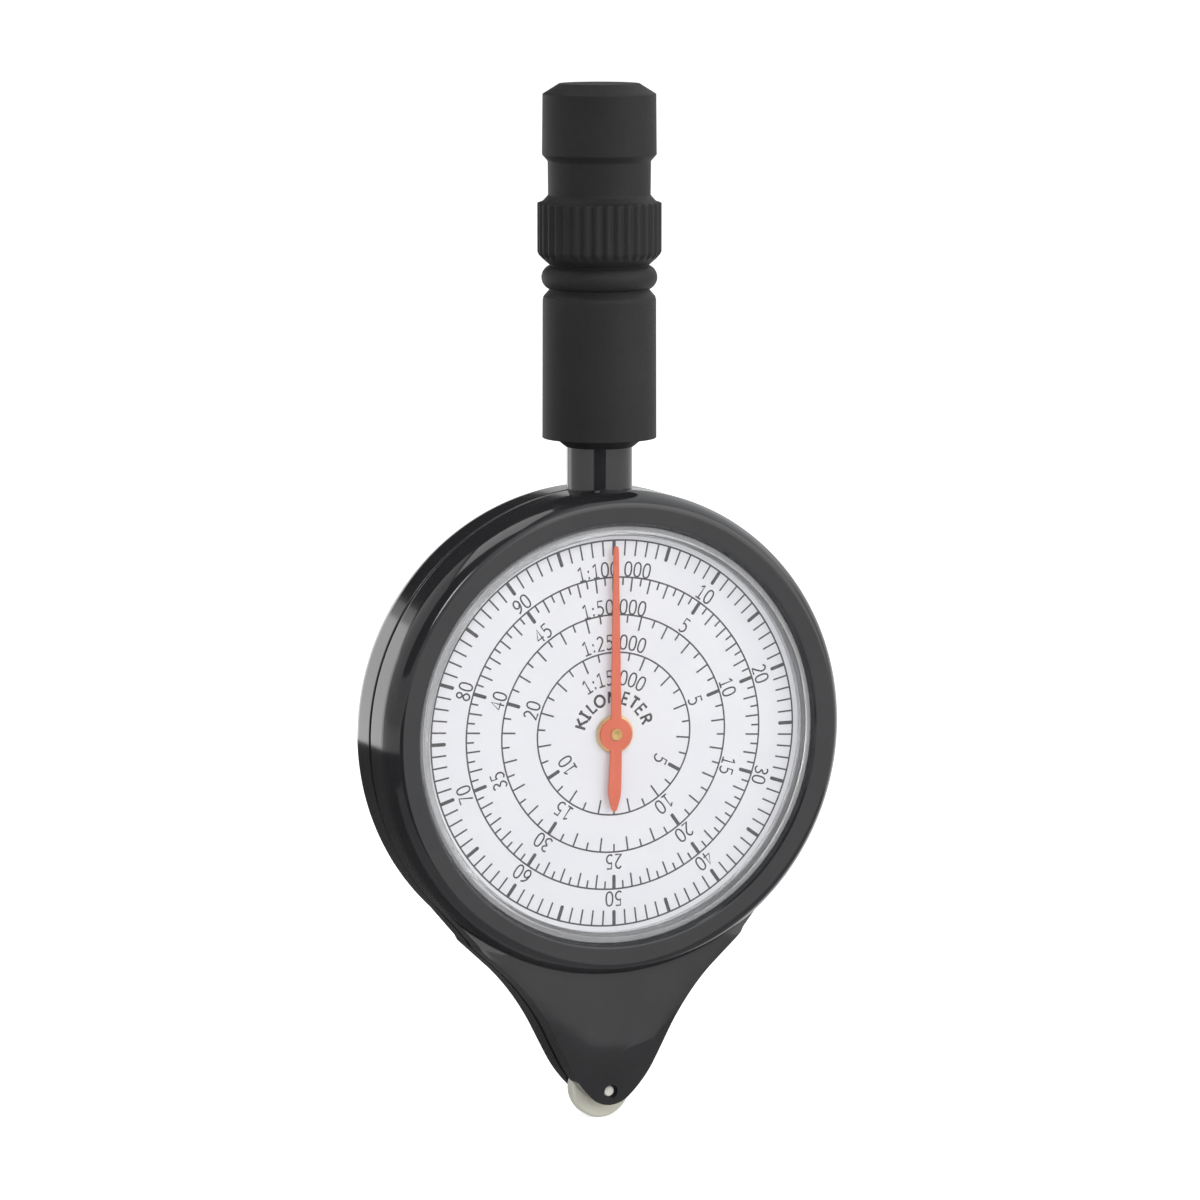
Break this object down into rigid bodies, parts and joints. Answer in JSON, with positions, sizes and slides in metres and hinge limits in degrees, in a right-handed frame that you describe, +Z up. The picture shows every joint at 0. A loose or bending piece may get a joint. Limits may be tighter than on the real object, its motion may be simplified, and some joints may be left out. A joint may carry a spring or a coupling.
{
  "type": "opisometer map measurer",
  "caption": "Hand-held map measurer: round split case with a dial and pointer under a clear cover on each side, fluted rubber grip, and a tracing wheel in a beak below.",
  "frame": {"origin": "the point where the tracing wheel touches the map, in the parting plane of the case", "axes": "+Z up the handle, away from the map; -Y out of the front dial; +X to the right of the front dial"},
  "size_m": [0.044, 0.0112, 0.0939],
  "materials": {
    "case_plastic": "polished",
    "crystal": "clear moulded acrylic",
    "dial": "printed white",
    "brass": "turned",
    "pointer_red": "satin",
    "steel": "ground",
    "nylon": "natural ivory nylon",
    "grip_rubber": "matt"
  },
  "bodies": {
    "case": {"front_case": "case_plastic", "rear_case": "case_plastic", "front_crystal": "crystal", "rear_crystal": "crystal", "front_dial": "dial", "rear_dial": "dial", "front_bush": "brass", "rear_bush": "brass", "idler_pin": "steel", "grip_sleeve": "grip_rubber"},
    "pointer_set": {"centre_arbor": "brass", "centre_gear": "brass", "front_pointer_washer": "brass", "rear_pointer_washer": "brass", "front_pointer": "pointer_red", "rear_pointer": "pointer_red"},
    "second_set": {"second_arbor": "steel", "second_gear": "brass", "second_pinion": "brass"},
    "idler": {"idler_gear": "brass"},
    "wheel_set": {"tracing_wheel": "nylon", "wheel_pinion": "nylon", "wheel_axle": "nylon"}
  },
  "joints": [
    {"name": "pointer_turn", "type": "hinge", "parent": "case", "child": "pointer_set", "pos_m": [0, 0, 0.03584], "axis": [0, 1, 0], "continuous": true},
    {"name": "second_turn", "type": "hinge", "parent": "case", "child": "second_set", "pos_m": [0, 0, 0.01484], "axis": [0, 1, 0], "continuous": true},
    {"name": "idler_turn", "type": "hinge", "parent": "case", "child": "idler", "pos_m": [0, 0, 0.00704], "axis": [0, 1, 0], "continuous": true},
    {"name": "wheel_roll", "type": "hinge", "parent": "case", "child": "wheel_set", "pos_m": [0, 0, 0.00284], "axis": [0, 1, 0], "continuous": true}
  ],
  "couplings": [
    {"joint": "second_turn", "follows": "pointer_turn", "ratio": -14},
    {"joint": "idler_turn", "follows": "pointer_turn", "ratio": 22.4},
    {"joint": "wheel_roll", "follows": "pointer_turn", "ratio": -56}
  ]
}
